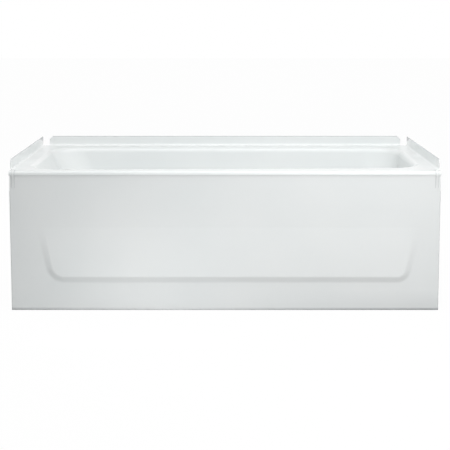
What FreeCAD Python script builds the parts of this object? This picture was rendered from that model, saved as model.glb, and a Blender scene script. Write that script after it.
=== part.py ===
import FreeCAD, Part
import math
import os
import re
import Sketcher

# An alcove bathtub of enamelled steel, right-hand drain, with its foam floor pad
# and a trip-lever waste and overflow.
# Frame: +Z up, +X towards the drain end, the apron faces -Y.  The origin is the
# bottom centre of the tub's box, on the bathroom floor.  Millimetres.

SIZES = {
    # pressed steel tub
    "tub_length": 1524,
    "tub_depth": 762,
    "rim_height": 502,
    "tub_gauge": 2.4,
    "end_ledge": 62,
    "basin_back": 284,
    "basin_front_head": 321,
    "basin_front_drain": 273,
    "head_slope": 28,
    "drain_slope": 9,
    "side_slope": 8,
    "floor_low": 119,
    "floor_fall": 16,
    "corner_radius": 110,
    "floor_radius": 70,
    "rim_radius": 22,
    "nose_radius": 12,
    "lip_drop": 16,
    "lip_round": 1.5,
    # upstand that the wall tiles lap over
    "flange_rise": 38,
    "flange_bend": 8,
    "flange_start": 36,
    "flange_corner": 15,
    "end_flange_gap": 20,
    "back_flange_gap": 26,
    "back_flange_slant": 14,
    # apron
    "apron_gauge": 1.2,
    "seam_gap": 0.2,
    "apron_tuck": 3.5,
    "apron_return": 22,
    "apron_bend": 5,
    "apron_relief": 3,
    "relief_height": 60,
    "corner_notch": 26,
    # raised panel pressed into the apron
    "panel_rise": 10,
    "panel_bottom": 113,
    "panel_top": 300,
    "panel_left_inset": 147,
    "panel_right_inset": 119,
    "panel_flare": 41,
    "panel_left_radius": 55,
    "panel_right_radius": 40,
    "bevel_width": 28,
    # foam pad under the floor
    "pad_head_inset": 262,
    "pad_drain_inset": 322,
    "pad_width": 380,
    # drain
    "drain_inset": 242,
    "drain_y": 4,
    "seat_drop": 2,
    "recess_radius": 44,
    "drain_hole": 26,
    "spud_radius": 23,
    "spud_bore": 20,
    "spud_length": 21,
    "spud_flange": 36.5,
    "grid_radius": 25,
    "gasket_thickness": 5.6,
    "shoe_wall": 4,
    "shoe_cup": 20,
    "branch_drop": 43,
    # 1 1/2 inch slip-joint tubing and fittings
    "tube_radius": 19.05,
    "tube_wall": 1,
    "slip_gap": 0.15,
    "barrel_radius": 22,
    "thread_gap": 0.05,
    "nut_flat": 24.5,
    "nut_grip": 12,
    "nut_lip": 3,
    "washer_thickness": 3,
    "stack_gap": 46.6,
    "tee_half": 36,
    "tee_branch": 38,
    "socket_depth": 15,
    "tee_bore": 18,
    "seat_bore": 14.5,
    "seat_width": 3,
    "tail_end": 4,
    "outlet_length": 26,
    "outlet_draw": 0.25,
    # overflow head
    "overflow_drop": 89,
    "overflow_hole": 30,
    "head_face": 36.5,
    "head_flange": 38,
    "head_flange_width": 4,
    "head_radius": 30,
    "head_wall": 4,
    "head_back": 17.5,
    "head_drop": 61,
    "plate_radius": 39.5,
    "plate_dome": 11,
    "plate_edge": 3,
    "plate_wall": 1.4,
    "screw_spread": 25,
    "screw_radius": 2.4,
    # trip lever and its linkage
    "pivot_rise": 2,
    "arm_over": 0.42,
    "lever_swing": 11.7,
    "lever_width": 6,
    "lever_reach": 36,
    "hub_radius": 4,
    "pivot_pin": 1.5,
    "pivot_gap": 0.05,
    "lug_gap": 0.4,
    "lug_width": 1.6,
    "arm_width": 2.4,
    "arm_height": 8,
    "link_pin": 1.2,
    "link_slot": 1.3,
    "link_play": 0.4,
    "rod_radius": 1.6,
    "plunger_radius": 17.6,
    "plunger_wall": 1.6,
    "plunger_length": 48,
    "rod_joint": 260,
}

# What follows from those sizes, so that the pieces keep together when one changes.
FOLLOWS = {
    "basin_length": "(tub_length - 2 * end_ledge)",
    "panel_left": "(tub_length / 2 - panel_left_inset)",
    "panel_right": "(tub_length / 2 - panel_right_inset)",
    "pad_head": "(tub_length / 2 - pad_head_inset)",
    "pad_drain": "(tub_length / 2 - pad_drain_inset)",
    "drain_x": "(tub_length / 2 - drain_inset)",
    "drain_seat": "(floor_low - seat_drop)",
    "branch_height": "(drain_seat - branch_drop)",
    "overflow_z": "(rim_height - overflow_drop)",
    "wall_x": "(basin_length / 2 - overflow_drop * tan(drain_slope))",
    "stack_x": "(wall_x + stack_gap)",
    "lever_arm": "(stack_gap + pivot_rise * cos(drain_slope) + arm_over)",
}

V = FreeCAD.Vector
doc = FreeCAD.newDocument("alcove_bathtub")
sheet = doc.addObject("Spreadsheet::Sheet", "sizes")
for row, (alias, size) in enumerate(SIZES.items(), 1):
    sheet.set("A%d" % row, alias)
    sheet.set("B%d" % row, str(size))
    sheet.setAlias("B%d" % row, alias)
doc.recompute()


# ---------------------------------------------------------------- helpers

def link(text):
    """A rule written with the names of the sizes, as the document reads it."""
    def spell(word):
        name = word.group()
        if name in FOLLOWS:
            return link(FOLLOWS[name])
        return "sizes." + name if name in SIZES else name
    return re.sub(r"[a-z][a-z_]*", spell, str(text))


def value(text):
    return float(sheet.evalExpression(link(text)))


def bind(item, **rules):
    for name, rule in rules.items():
        item.setExpression(name, link(rule))
    return item


def place(item, x="0", y="0", z="0", axis=V(0, 1, 0), turn="0"):
    """Turn about an axis through the item's own origin, then shift."""
    item.Placement = FreeCAD.Placement(V(), FreeCAD.Rotation(axis, value(turn)))
    for letter, rule in zip("xyz", (x, y, z)):
        item.setExpression(".Placement.Base." + letter, link(rule))
    return item


def body(name):
    made = doc.addObject("PartDesign::Body", name)
    made.Label = name
    return made


def sketch(owner, name, role, level):
    made = owner.newObject("Sketcher::SketchObject", name)
    plane = [item for item in owner.Origin.OriginFeatures if item.Role == role][0]
    made.AttachmentSupport = (plane, [""])
    made.MapMode = "FlatFace"
    made.setExpression(".AttachmentOffset.Base.z", link(level))
    return made


def pin(made, kind, geometry, vertex, rule):
    """Hold one coordinate of a sketch vertex to a rule."""
    number = made.addConstraint(Sketcher.Constraint(kind, -1, 1, geometry, vertex, value(rule)))
    made.setExpression("Constraints[%d]" % number, link(rule))


def loop(made, corners):
    """Add a closed loop.  A corner is (x, y), or (x, y, radius) where an arc leads on to the
    next corner: a positive radius turns left, a negative one right."""
    spots = [V(value(corner[0]), value(corner[1]), 0) for corner in corners]
    ends = []
    for index, corner in enumerate(corners):
        here, there = spots[index], spots[(index + 1) % len(corners)]
        if len(corner) == 2:
            ends.append((made.addGeometry(Part.LineSegment(here, there), False), 1, 2))
            continue
        radius = value(corner[2])
        half = (there - here) * 0.5
        left = V(-half.y, half.x, 0).normalize()
        centre = here + half + left * math.copysign(
            math.sqrt(max(radius ** 2 - half.Length ** 2, 0)), radius)
        circle = Part.Circle(centre, V(0, 0, 1), abs(radius))
        first, last = (here, there) if radius > 0 else (there, here)
        angles = [math.atan2(spot.y - centre.y, spot.x - centre.x) for spot in (first, last)]
        number = made.addGeometry(Part.ArcOfCircle(circle, angles[0], angles[1]), False)
        ends.append((number, 1, 2) if radius > 0 else (number, 2, 1))
    for index, (number, start, end) in enumerate(ends):
        after = ends[(index + 1) % len(ends)]
        made.addConstraint(Sketcher.Constraint("Coincident", number, end, after[0], after[1]))
    for (number, start, end), corner in zip(ends, corners):
        pin(made, "DistanceX", number, start, corner[0])
        pin(made, "DistanceY", number, start, corner[1])
        if len(corner) == 3:
            rule = corner[2].lstrip("-")
            bound = made.addConstraint(Sketcher.Constraint("Radius", number, value(rule)))
            made.setExpression("Constraints[%d]" % bound, link(rule))


def outline(owner, name, role, corners, level="0"):
    made = sketch(owner, name, role, level)
    loop(made, corners)
    return made


def rectangle(left, low, right, high):
    return [(left, low), (right, low), (right, high), (left, high)]


def ring(owner, name, role, centres, radius, level="0"):
    """One circle of the same radius about each centre."""
    made = sketch(owner, name, role, level)
    for x, y in centres:
        circle = Part.Circle(V(value(x), value(y), 0), V(0, 0, 1), value(radius))
        number = made.addGeometry(circle, False)
        pin(made, "DistanceX", number, 3, x)
        pin(made, "DistanceY", number, 3, y)
        bound = made.addConstraint(Sketcher.Constraint("Radius", number, value(radius)))
        made.setExpression("Constraints[%d]" % bound, link(radius))
    return made


def feature(owner, kind, name, profile, length=None, **settings):
    made = owner.newObject("PartDesign::" + kind, name)
    made.Profile = profile
    for setting, choice in settings.items():
        setattr(made, setting, choice)
    if length is not None:
        bind(made, Length=length)
    doc.recompute()
    return made


def turned(name, corners):
    """A body turned about its own Z from a half section of (radius, height) corners."""
    made = body(name)
    section = outline(made, name + "_section", "XZ_Plane", corners)
    feature(made, "Revolution", name + "_turned", section, ReferenceAxis=(section, ["V_Axis"]))
    return made


def rounded(owner, kind, name, base, wanted, size):
    """Fillet or chamfer the edges of the base feature that the test picks."""
    edges = ["Edge%d" % number for number, edge in enumerate(base.Shape.Edges, 1) if wanted(edge)]
    made = owner.newObject("PartDesign::" + kind, name)
    made.Base = (base, edges)
    bind(made, **{"Radius" if kind == "Fillet" else "Size": size})
    doc.recompute()
    return made


def boolean(kind, name, base, tool):
    made = doc.addObject("Part::" + kind, name)
    made.Label = name
    if kind in ("MultiFuse", "MultiCommon"):
        made.Shapes = [base, *tool]
    else:
        made.Base, made.Tool = base, tool
    doc.recompute()
    return made


def near(first, second):
    return abs(first - second) < 0.01


# ---------------------------------------------------------------- pressed tub

HALF_LENGTH = "tub_length / 2"
HALF_DEPTH = "tub_depth / 2"
APRON_FACE = "-(tub_depth / 2 - panel_rise)"
BEHIND_APRON = "(-(tub_depth / 2 - panel_rise) + apron_gauge)"
NOSE = "(-(tub_depth / 2 - panel_rise) - seam_gap - tub_gauge)"
LIP = "(rim_height - lip_drop)"
BEND_OUT = "(flange_bend + tub_gauge)"
FLANGE_FRONT = NOSE + " + flange_start"


def tub_form(name, grow):
    """The block under one skin of the tub: the upper skin as drawn, or, grown by the gauge,
    the lower skin that lies one thickness of steel beneath it."""
    form = body(name)
    upper = grow == "0"
    top = "(rim_height - %s)" % grow
    nose = "(%s + %s)" % (NOSE, grow)
    if upper:
        section = [(BEHIND_APRON, "0"), (BEHIND_APRON, LIP), (nose, LIP),
                   (nose, top), (HALF_DEPTH, top), (HALF_DEPTH, "0")]
    else:
        section = rectangle(nose, "-floor_low", HALF_DEPTH + " + floor_low", top)
    block = feature(form, "Pad", name + "_block",
                    outline(form, name + "_section", "YZ_Plane", section),
                    "tub_length" if upper else "tub_length + 2 * floor_low", Midplane=True)

    # The opening at the rim and the outline of the floor, with parallel sides.
    depth = "(rim_height - floor_low + %s)" % grow
    skew = "((basin_front_head - basin_front_drain) / basin_length)"
    head = "(-basin_length / 2 - %s / cos(head_slope))" % grow
    drain = "(basin_length / 2 + %s / cos(drain_slope))" % grow
    back = "(basin_back + %s / cos(side_slope))" % grow
    front = "-basin_front_head - %s / cos(side_slope) + %s * (%%s + basin_length / 2)" % (grow, skew)
    low_head = "(%s + %s * tan(head_slope))" % (head, depth)
    low_drain = "(%s - %s * tan(drain_slope))" % (drain, depth)
    inward = "%s * tan(side_slope)" % depth
    opening = outline(form, name + "_opening", "XY_Plane",
                      [(head, front % head), (drain, front % drain), (drain, back), (head, back)],
                      "rim_height")
    floor = outline(form, name + "_floor", "XY_Plane",
                    [(low_head, front % low_head + " + " + inward),
                     (low_drain, front % low_drain + " + " + inward),
                     (low_drain, back + " - " + inward), (low_head, back + " - " + inward)],
                    "floor_low - " + grow)
    feature(form, "SubtractiveLoft", name + "_basin", opening, Sections=[floor], Ruled=True)

    # The floor falls towards the drain.
    reach = "(basin_length / 2 + corner_radius / 3)"
    fall = outline(form, name + "_fall", "XZ_Plane",
                   [("-" + reach, "floor_low - 5 - " + grow), (reach, "floor_low - 5 - " + grow),
                    (reach, "floor_low - 1 - " + grow),
                    ("-" + reach, "floor_low + floor_fall - 1 - " + grow)])
    slab = feature(form, "Pad", name + "_slab", fall, "tub_depth - 4 * nose_radius", Midplane=True)

    inner_x, inner_y = value(HALF_LENGTH) - 12, value(HALF_DEPTH) - 12
    rim_z, low_z, fall_z = value(top), value("floor_low - " + grow), value("floor_fall")
    long, tall = value("tub_length / 2"), value("(rim_height - floor_low) / 2")

    def inside(spot):
        return abs(spot.x) < inner_x and abs(spot.y) < inner_y

    def is_corner(edge):
        ends = [vertex.Point for vertex in edge.Vertexes]
        return edge.BoundBox.ZLength > tall and all(inside(spot) for spot in ends)

    def is_floor(edge):
        spot = edge.CenterOfMass
        return low_z - 5 < spot.z < low_z + fall_z + 9 and edge.BoundBox.ZLength < 2 * fall_z \
            and abs(spot.x) < inner_x

    def is_rim(edge):
        spot = edge.CenterOfMass
        return near(spot.z, rim_z) and edge.BoundBox.ZLength < 0.1 \
            and abs(spot.x) < value("basin_length / 2 + 10") \
            and value("-basin_front_head - 10") < spot.y < value("basin_back + 10")

    def is_nose(edge):
        spot = edge.CenterOfMass
        return near(spot.z, rim_z) and near(spot.y, value(nose)) and edge.BoundBox.XLength > long

    def is_lip(edge):
        spot = edge.CenterOfMass
        return near(spot.z, value(LIP)) and near(spot.y, value(nose)) \
            and edge.BoundBox.XLength > long

    step = rounded(form, "Fillet", name + "_corners", slab, is_corner, "corner_radius + " + grow)
    step = rounded(form, "Fillet", name + "_cove", step, is_floor, "floor_radius + " + grow)
    step = rounded(form, "Fillet", name + "_roll", step, is_rim, "rim_radius - " + grow)
    step = rounded(form, "Fillet", name + "_nose", step, is_nose, "nose_radius - " + grow)
    if upper:
        step = rounded(form, "Fillet", name + "_lip", step, is_lip, "lip_round")

    # The dished seat of the drain.
    seat = ring(form, name + "_seat", "XY_Plane", [("drain_x", "drain_y")],
                "recess_radius + " + grow, "rim_height")
    feature(form, "Pocket", name + "_dish", seat, "rim_height - drain_seat + " + grow)

    if upper:
        # The rim stops where the upstands begin, and is notched out at the back corners.
        edge_x = "(tub_length / 2 - %s)" % BEND_OUT
        edge_y = "(tub_depth / 2 - %s)" % BEND_OUT
        relief = sketch(form, name + "_relief", "XY_Plane", "rim_height")
        loop(relief, [(HALF_LENGTH + " + 10", FLANGE_FRONT), (HALF_LENGTH + " + 10", HALF_DEPTH
                      + " + 10"), ("-tub_length / 2 - 10", HALF_DEPTH + " + 10"),
                      ("-tub_length / 2 - 10", FLANGE_FRONT), ("-" + edge_x, FLANGE_FRONT),
                      ("-" + edge_x, edge_y), (edge_x, edge_y), (edge_x, FLANGE_FRONT)])
        feature(form, "Pocket", name + "_trim", relief, "rim_height + 10")
    return form


upper_form = tub_form("upper_form", "0")
lower_form = tub_form("lower_form", "tub_gauge")
tub_skin = boolean("Cut", "tub_skin", upper_form, lower_form)


# ---------------------------------------------------------------- tile upstands

def upstand(name, role, side, start, length):
    """A strip bent up off the rim: side is the sign of the way it faces."""
    strip = body(name)
    edge = "(tub_length / 2)" if role == "XZ_Plane" else "(tub_depth / 2)"
    arc_out, arc_in = ("%s", "-%s") if side > 0 else ("-%s", "%s")
    sign = "" if side > 0 else "-"
    corners = [
        (sign + "(%s - %s)" % (edge, BEND_OUT), "rim_height - tub_gauge", arc_out % BEND_OUT),
        (sign + edge, "rim_height + flange_bend"),
        (sign + edge, "rim_height + flange_rise"),
        (sign + "(%s - tub_gauge)" % edge, "rim_height + flange_rise"),
        (sign + "(%s - tub_gauge)" % edge, "rim_height + flange_bend", arc_in % "flange_bend"),
        (sign + "(%s - %s)" % (edge, BEND_OUT), "rim_height"),
    ]
    section = outline(strip, name + "_section", role, corners, start)
    return strip, feature(strip, "Pad", name + "_strip", section, length)


def top_edges(at_x=None, at_y=None):
    def wanted(edge):
        spot = edge.CenterOfMass
        return near(spot.z, value("rim_height + flange_rise")) \
            and (at_x is None or near(spot.x, at_x)) and (at_y is None or near(spot.y, at_y))
    return wanted


END_FLANGE = "(tub_depth / 2 - end_flange_gap - (%s))" % FLANGE_FRONT
END_BACK = "-(tub_depth / 2 - end_flange_gap)"
strips = []
for name, side in (("head_upstand", -1), ("drain_upstand", 1)):
    strip, pad = upstand(name, "XZ_Plane", side, END_BACK, END_FLANGE)
    rounded(strip, "Fillet", name + "_corner", pad, top_edges(at_y=value(FLANGE_FRONT)),
            "flange_corner")
    strips.append(strip)
BACK_HALF = "(tub_length / 2 - back_flange_gap)"
strip, pad = upstand("back_upstand", "YZ_Plane", 1, "-" + BACK_HALF, "2 * " + BACK_HALF)
rounded(strip, "Chamfer", "back_upstand_slant", pad,
        lambda edge: any(top_edges(at_x=sign * value(BACK_HALF))(edge) for sign in (-1, 1)),
        "back_flange_slant")
strips.append(strip)
tub_blank = boolean("MultiFuse", "tub_blank", tub_skin, strips)


def cylinder(name, radius, height, **position):
    made = doc.addObject("Part::Cylinder", name)
    bind(made, Radius=radius, Height=height)
    return place(made, **position)


# The drain-end wall where the overflow is, and the way out through it.
OUTWARD = "90 + drain_slope"
drain_bore = cylinder("drain_bore", "drain_hole", "40", x="drain_x", y="drain_y",
                      z="drain_seat - 20")
overflow_bore = cylinder("overflow_bore", "overflow_hole", "40",
                         x="wall_x - 20 * cos(drain_slope)", y="drain_y",
                         z="overflow_z + 20 * sin(drain_slope)", turn=OUTWARD)
bores = boolean("MultiFuse", "bores", drain_bore, [overflow_bore])
basin_shell = boolean("Cut", "basin_shell", tub_blank, bores)


# ---------------------------------------------------------------- apron

APRON_TOP = "(%s + apron_tuck)" % LIP
APRON_BACK = "(%s + apron_return)" % APRON_FACE


def is_bend(reach, face):
    """The side and bottom edges of an upright plate, on its front face."""
    def wanted(edge):
        spot, box = edge.CenterOfMass, edge.BoundBox
        side = near(abs(spot.x), value(reach)) and box.ZLength > value("rim_height / 4")
        low = box.XLength > value("tub_length / 2") and spot.z < 10
        return near(spot.y, value(face)) and (side or low)
    return wanted


tray = body("apron_tray")
plate = outline(tray, "apron_front", "XZ_Plane",
                rectangle("-tub_length / 2", "0", HALF_LENGTH, APRON_TOP),
                "-(%s)" % APRON_BACK)
feature(tray, "Pad", "apron_blank", plate, "apron_return")
hollow_side = "(tub_length / 2 - apron_gauge)"
hollow = outline(tray, "apron_hollow", "XZ_Plane",
                 rectangle("-" + hollow_side, "apron_gauge", hollow_side, APRON_TOP + " + 10"),
                 "-(%s)" % APRON_BACK)
step = feature(tray, "Pocket", "apron_inside", hollow, "apron_return - apron_gauge", Reversed=True)
step = rounded(tray, "Fillet", "apron_inner_bends", step,
               is_bend(hollow_side, APRON_FACE + " + apron_gauge"), "apron_bend - apron_gauge")
step = rounded(tray, "Fillet", "apron_bends", step, is_bend(HALF_LENGTH, APRON_FACE), "apron_bend")

# The returns are cropped at the bottom corners and below the rim, where the sheet also
# narrows so that it slips behind the lip.
crop = sketch(tray, "apron_crops", "XZ_Plane", "-(%s)" % APRON_BACK)
for sign in ("-", ""):
    near_x = sign + "(tub_length / 2 - corner_notch)"
    loop(crop, rectangle(near_x, "-5", sign + "(tub_length / 2 + 5)", "corner_notch"))
    loop(crop, rectangle(near_x, APRON_TOP + " - relief_height", sign + "(tub_length / 2 + 5)",
                         APRON_TOP + " + 5"))
step = feature(tray, "Pocket", "apron_cropped", crop, "apron_return - apron_bend - 1",
               Reversed=True)
narrow = sketch(tray, "apron_narrows", "XZ_Plane", "-(%s)" % APRON_BACK)
for sign in ("-", ""):
    loop(narrow, [(sign + "(tub_length / 2 + 5)", APRON_TOP + " - relief_height"),
                  (sign + "(tub_length / 2 + 5)", APRON_TOP + " + 5"),
                  (sign + "(tub_length / 2 - apron_relief)", APRON_TOP + " + 5"),
                  (sign + "(tub_length / 2 - apron_relief / 2)", APRON_TOP + " - relief_height")])
feature(tray, "Pocket", "apron_narrowed", narrow, "2 * apron_return", Midplane=True)


# ---------------------------------------------------------------- raised panel

def pressing():
    """The raised panel as a solid.  Its bevel follows a U: down one leg, round the two lower
    corners and up the other leg.  Each row across the bevel starts level with the apron and
    ends level with the panel, whose face leans back until it meets the apron at the top."""
    low, high, rise = value("panel_bottom"), value("panel_top"), value("panel_rise")
    half, face = value("bevel_width") / 2, value(APRON_FACE)
    lean = math.atan2(value("panel_flare"), high - low)
    bend = (math.pi / 2 - lean) / 2

    def row(spot, inward, reach):
        """Four poles across the bevel, two on the apron and two on the leaning face."""
        poles = [spot + inward * (reach * share) + V(0, face, 0) for share in (-1, -0.3, 0.3, 1)]
        lift = [0, 0] + [rise * (high - pole.z) / (high - low - half) for pole in poles[2:]]
        return [pole - V(0, height, 0) for pole, height in zip(poles, lift)]

    def corner(sign, reach, radius):
        """Rows at the top of a leg, its foot, the point of the corner and the bottom edge."""
        centre = V(sign * (reach - radius * math.tan(bend)), 0, low + radius)
        rows = [row(V(sign * (reach + value("panel_flare")), 0, high), V(-sign, 0, 0),
                    half / math.cos(lean))]
        for angle, stretch in ((lean, 1), (lean + bend, 1 / math.cos(bend)), (math.pi / 2, 1)):
            inward = V(-sign * math.cos(angle), 0, math.sin(angle)) * stretch
            rows.append(row(centre - inward * radius, inward, half))
        return rows

    left = corner(-1, value("panel_left"), value("panel_left_radius"))
    right = corner(1, value("panel_right"), value("panel_right_radius"))
    rows = left + right[::-1]
    spans = [(0, 1), (1, 2, 3), (3, 4), (4, 5, 6), (6, 7)]
    back = V(0, 4 * value("apron_gauge"), 0)
    faces, outer, inner = [], [], []
    for span in spans:
        poles = [rows[number] for number in span]
        weights = [[1] * 4 for number in span]
        if len(span) == 3:
            weights[1] = [math.cos(bend)] * 4
        strip = Part.BSplineSurface()
        strip.buildFromPolesMultsKnots(poles, [len(span)] * 2, [4, 4], [0, 1], [0, 1], False,
                                       False, len(span) - 1, 3, weights)
        faces.append(strip.toShape())
        outer.append(strip.vIso(0).toShape())
        inner.append(strip.vIso(1).toShape())
    crest = [rows[0][0], rows[0][3], rows[-1][3], rows[-1][0]]
    top = [Part.makeLine(here, there) for here, there in zip(crest, crest[1:])]
    border = Part.Wire(Part.__sortEdges__(outer + top))
    faces.append(Part.Face(Part.Wire(Part.__sortEdges__(inner + [top[1]]))))
    faces.append(Part.Face(border).translated(back))
    faces += [edge.extrude(back) for edge in outer + top]
    shell = Part.makeShell(faces)
    shell.sewShape()
    return Part.Solid(shell)


panel_front = doc.addObject("Part::Feature", "panel_front")
panel_front.Shape = pressing()
panel_back = doc.addObject("Part::Feature", "panel_back")
panel_back.Shape = panel_front.Shape
place(panel_back, y="apron_gauge")
apron_raised = boolean("Fuse", "apron_raised", tray, panel_front)
apron_panel = boolean("Cut", "apron_panel", apron_raised, panel_back)


# ---------------------------------------------------------------- foam pad

FALL = "(floor_fall / (basin_length + 2 * corner_radius / 3))"
UNDER_FLOOR = "(floor_low - 1 - tub_gauge + %s * (basin_length / 2 + corner_radius / 3 - (%%s)))" % FALL
foam_pad = body("foam_pad")
profile = outline(foam_pad, "pad_section", "XZ_Plane",
                  [("-pad_head", "0"), ("pad_drain", "0"), ("pad_drain", UNDER_FLOOR % "pad_drain"),
                   ("-pad_head", UNDER_FLOOR % "-pad_head")], "-drain_y")
feature(foam_pad, "Pad", "pad_block", profile, "pad_width", Midplane=True)


# ---------------------------------------------------------------- drain

# The threaded drain flange, with a crossbar across the foot of its bore.
UNDER_SEAT = "(drain_seat - tub_gauge)"
SHOE_TOP = "(%s - gasket_thickness)" % UNDER_SEAT
SHOE_BASE = "(branch_height - shoe_cup - shoe_wall)"
drain_flange = turned("drain_flange", [
    ("spud_bore", "-spud_length"), ("spud_radius", "-spud_length"), ("spud_radius", "0"),
    ("spud_flange", "0"), ("spud_flange", "0.8", "12"), ("grid_radius + 0.6", "3"),
    ("grid_radius + 0.6", "1.4"), ("spud_bore", "1.4")])
bars = sketch(drain_flange, "crossbars", "XY_Plane", "-spud_length")
loop(bars, rectangle("-spud_bore - 1", "-1.5", "spud_bore + 1", "1.5"))
bar = feature(drain_flange, "Pad", "crossbar", bars, "5")
turn = drain_flange.newObject("PartDesign::PolarPattern", "cross")
turn.Originals, turn.Axis, turn.Angle, turn.Occurrences = [bar], (bars, ["N_Axis"]), 180, 2
drain_flange.Tip = turn
doc.recompute()
feature(drain_flange, "Pad", "cross_boss",
        ring(drain_flange, "boss_outline", "XY_Plane", [("0", "0")], "4.5", "-spud_length"), "6")
feature(drain_flange, "Pocket", "cross_thread",
        ring(drain_flange, "thread_outline", "XY_Plane", [("0", "0")], "screw_radius", "0"),
        "spud_length", Midplane=True, Type=1)
place(drain_flange, x="drain_x", y="drain_y", z="drain_seat")

# The strainer grid: a shallow dome with two rings of holes.
strainer_grid = turned("strainer_grid", [
    ("0", "1.4"), ("grid_radius", "1.4"),
    ("grid_radius", "2.2", "(grid_radius ^ 2 + 2.6 ^ 2) / (2 * 2.6)"), ("0", "4.8")])
for name, reach, hole, count in (("inner_holes", "9.5", "2.6", 6), ("outer_holes", "18", "3", 12)):
    first = feature(strainer_grid, "Pocket", name + "_first",
                    ring(strainer_grid, name + "_outline", "XY_Plane", [(reach, "0")], hole),
                    "20", Reversed=True)
    ring_of = strainer_grid.newObject("PartDesign::PolarPattern", name)
    ring_of.Originals = [first]
    ring_of.Axis = (first.Profile[0], ["N_Axis"])
    ring_of.Angle, ring_of.Occurrences = 360, int(count)
    strainer_grid.Tip = ring_of
    doc.recompute()
feature(strainer_grid, "Pocket", "screw_hole",
        ring(strainer_grid, "screw_hole_outline", "XY_Plane", [("0", "0")], "screw_radius + 0.2"),
        "20", Reversed=True)
place(strainer_grid, x="drain_x", y="drain_y", z="drain_seat")


def screw(name, length, **position):
    """A pan-head screw that points down its own axis, with its head seated at zero."""
    made = turned(name, [("0", "-(%s)" % length), ("screw_radius", "-(%s)" % length),
                         ("screw_radius", "0"), ("screw_radius + 1.8", "0"),
                         ("screw_radius + 1.8", "1", "5"), ("0", "2.4")])
    slot = outline(made, name + "_slot", "XY_Plane", rectangle("-6", "-0.5", "6", "0.5"), "3")
    feature(made, "Pocket", name + "_slotted", slot, "1.7")
    return place(made, **position)


strainer_screw = screw("strainer_screw", "spud_length + 5", x="drain_x", y="drain_y",
                       z="drain_seat + 4.8")
drain_gasket = turned("drain_gasket", [
    ("spud_radius + 0.3", "0"), ("shoe_cup + shoe_wall + 8", "0"),
    ("shoe_cup + shoe_wall + 10", "gasket_thickness"), ("spud_radius + 0.3", "gasket_thickness")])
place(drain_gasket, x="drain_x", y="drain_y", z=SHOE_TOP)

# The shoe: a cup under the drain with a tube that runs to the tee.
shoe_thread = "(spud_radius + thread_gap)"
shoe_out = "(spud_radius + shoe_wall)"
shoe_cup = turned("shoe_cup_outer", [
    ("0", SHOE_BASE), ("%s - 10" % shoe_out, SHOE_BASE, "10"), (shoe_out, SHOE_BASE + " + 10"),
    (shoe_out, SHOE_TOP + " - 5"), ("shoe_cup + shoe_wall + 10", SHOE_TOP + " - 5"),
    ("shoe_cup + shoe_wall + 10", SHOE_TOP), ("0", SHOE_TOP)])
place(shoe_cup, x="drain_x", y="drain_y")
SHOE_END = "(stack_x - tee_branch + socket_depth - slip_gap)"
shoe_arm = cylinder("shoe_arm", "tube_radius", SHOE_END + " - drain_x", x="drain_x", y="drain_y",
                    z="branch_height", turn="90")
shoe_hollow = turned("shoe_hollow", [
    ("0", SHOE_BASE + " + shoe_wall"), ("shoe_cup - 8", SHOE_BASE + " + shoe_wall", "8"),
    ("shoe_cup", SHOE_BASE + " + shoe_wall + 8"), ("shoe_cup", "drain_seat - spud_length - 1"),
    (shoe_thread, "drain_seat - spud_length - 1"), (shoe_thread, SHOE_TOP + " + 5"),
    ("0", SHOE_TOP + " + 5")])
place(shoe_hollow, x="drain_x", y="drain_y")
shoe_bore = cylinder("shoe_bore", "tube_radius - tube_wall", SHOE_END + " - drain_x + 5",
                     x="drain_x", y="drain_y", z="branch_height", turn="90")
drain_shoe = boolean("Cut", "drain_shoe", boolean("MultiFuse", "shoe_outer", shoe_cup, [shoe_arm]),
                     boolean("MultiFuse", "shoe_inner", shoe_hollow, [shoe_bore]))


# ---------------------------------------------------------------- slip joints

def slip_nut(name, **position):
    """A hexagonal nut drawn over the end of a barrel, which is at zero, and along the tube."""
    crown = "(nut_flat / cos(30))"
    made = turned(name, [
        ("barrel_radius + thread_gap", "-nut_grip"), ("nut_flat", "-nut_grip"),
        (crown, "-nut_grip + 2"), (crown, "washer_thickness + nut_lip - 2"),
        ("nut_flat", "washer_thickness + nut_lip"),
        ("tube_radius + slip_gap", "washer_thickness + nut_lip"),
        ("tube_radius + slip_gap", "washer_thickness"),
        ("barrel_radius + thread_gap", "washer_thickness")])
    flat = outline(made, name + "_flat", "XY_Plane",
                   rectangle("nut_flat", "-nut_flat", "2 * nut_flat", "nut_flat"), "-nut_grip - 1")
    first = feature(made, "Pocket", name + "_first_flat", flat,
                    "nut_grip + washer_thickness + nut_lip + 2", Reversed=True)
    flats = made.newObject("PartDesign::PolarPattern", name + "_flats")
    flats.Originals, flats.Axis = [first], (flat, ["N_Axis"])
    flats.Angle, flats.Occurrences = 360, 6
    made.Tip = flats
    doc.recompute()
    return place(made, **position)


def slip_washer(name, **position):
    return place(turned(name, [
        ("tube_radius + 0.02", "0"), ("barrel_radius - 0.1", "0"),
        ("barrel_radius - 0.1", "washer_thickness - 1"),
        ("barrel_radius - 1", "washer_thickness"), ("tube_radius + 0.02", "washer_thickness")]),
        **position)


TEE_TOP = "(branch_height + tee_half)"
TEE_LOW = "(branch_height - tee_half)"
TEE_SIDE = "(stack_x - tee_branch)"
HEAD_FACE = "(wall_x + head_face - 26)"
HEAD_LOW = "(overflow_z - head_drop)"
JOINTS = {
    "branch": dict(x=TEE_SIDE, z="branch_height", turn="-90"),
    "tee_top": dict(x="stack_x", z=TEE_TOP),
    "tailpiece": dict(x="stack_x", z=TEE_LOW, turn="180"),
    "elbow": dict(x="stack_x", z=HEAD_LOW, turn="180"),
}
slip_parts = []
for joint, position in JOINTS.items():
    slip_parts.append(slip_nut(joint + "_nut", y="drain_y", **position))
    slip_parts.append(slip_washer(joint + "_washer", y="drain_y", **position))

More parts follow.
